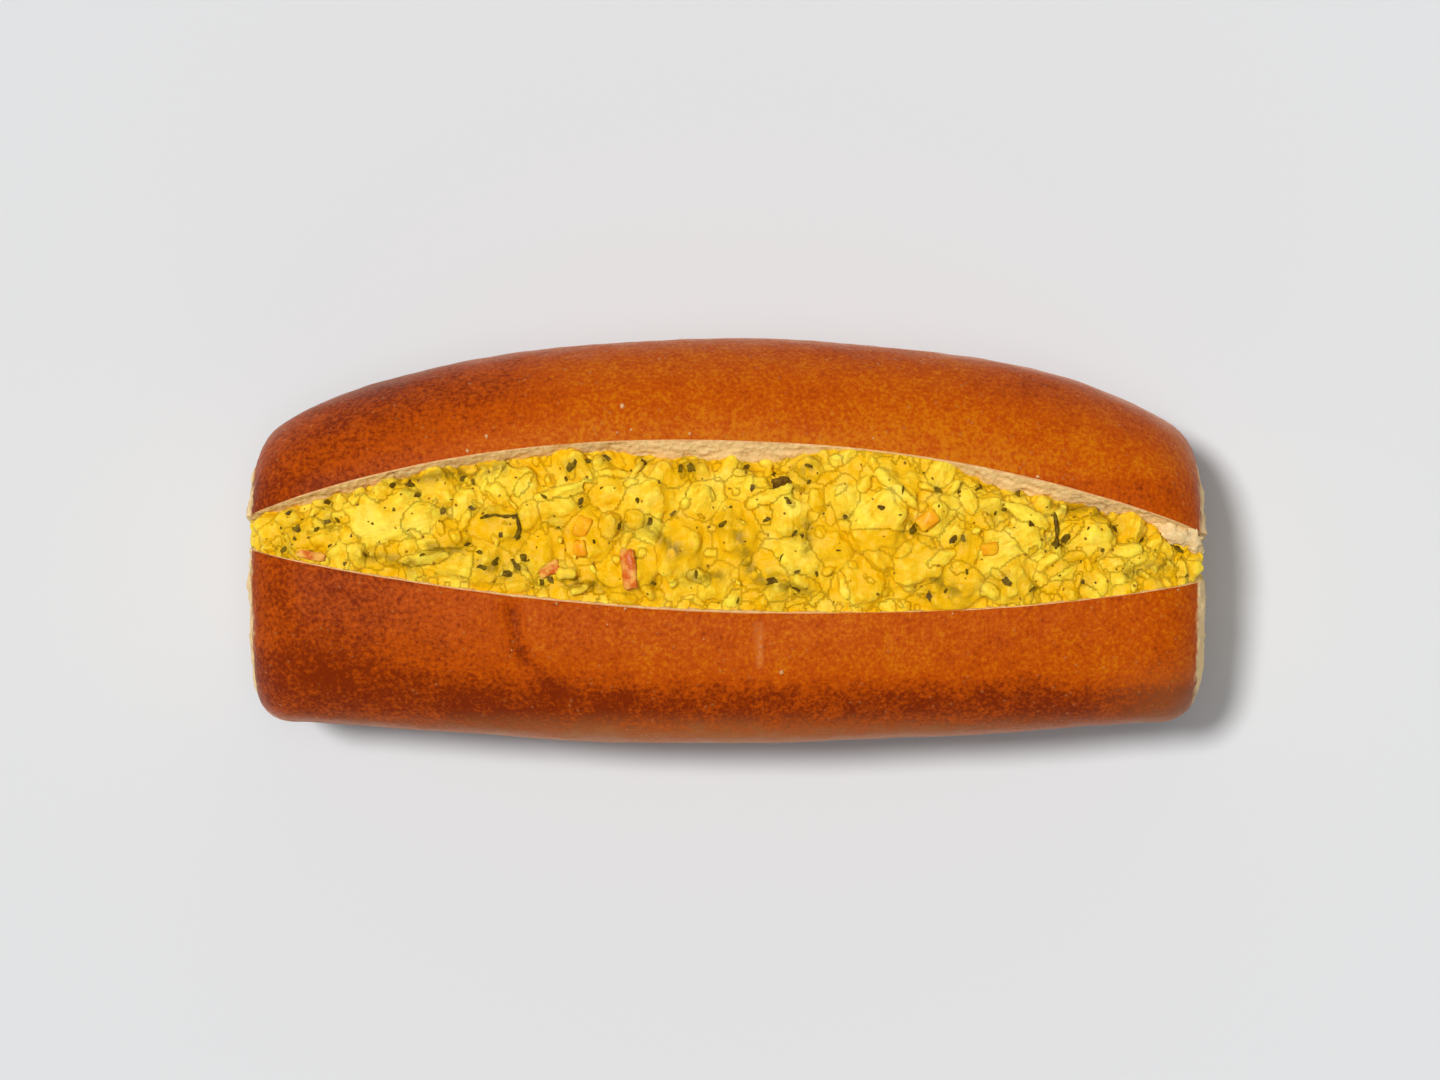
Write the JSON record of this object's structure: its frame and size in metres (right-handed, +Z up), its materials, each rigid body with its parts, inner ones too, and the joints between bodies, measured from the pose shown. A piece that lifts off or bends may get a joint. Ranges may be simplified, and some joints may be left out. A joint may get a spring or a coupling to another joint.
{
  "type": "chicken sandwich",
  "caption": "Soft finger roll cut lengthwise, lying on its back with the cut up, heaped with curried chicken, diced red pepper and chopped herbs.",
  "frame": {"origin": "under the middle of the roll, on the surface that it rests on", "axes": "+X along the roll, +Y towards the domed crown, +Z up, out of the cut"},
  "size_m": [0.17, 0.0719, 0.061],
  "materials": {
    "crust": "golden-brown soft crust with a satin egg wash",
    "filling": "moist yellow curried chicken mash with dark herb flakes and red pepper"
  },
  "bodies": {
    "root": {"bun": "crust", "filling": "filling"}
  },
  "joints": []
}
